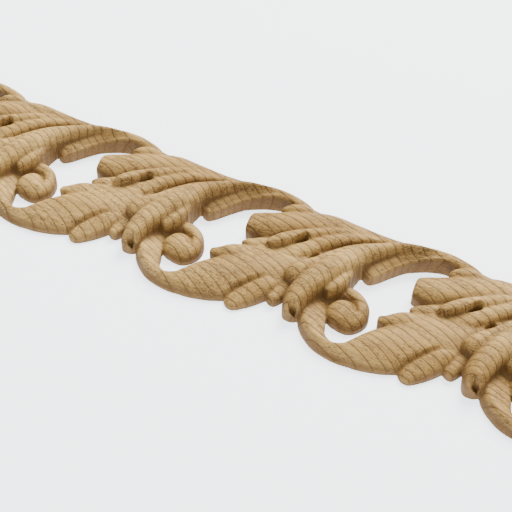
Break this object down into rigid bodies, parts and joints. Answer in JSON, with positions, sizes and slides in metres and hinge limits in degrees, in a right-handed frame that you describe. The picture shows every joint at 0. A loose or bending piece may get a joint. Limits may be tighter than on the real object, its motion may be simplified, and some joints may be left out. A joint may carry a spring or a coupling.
{
  "type": "carved braid moulding",
  "caption": "Pierced wooden moulding carved with a running row of acanthus leaves and scrolls, flat at the back and cut square at both ends.",
  "frame": {"origin": "middle of the flat back", "axes": "+X along the moulding, +Y across it towards the arched edge, +Z out of the back through the carved face"},
  "size_m": [0.24, 0.0527, 0.011],
  "materials": {
    "oak": "bare sanded oak, matte, with dark growth rings"
  },
  "bodies": {
    "root": {"braid_moulding": "oak"}
  },
  "joints": []
}
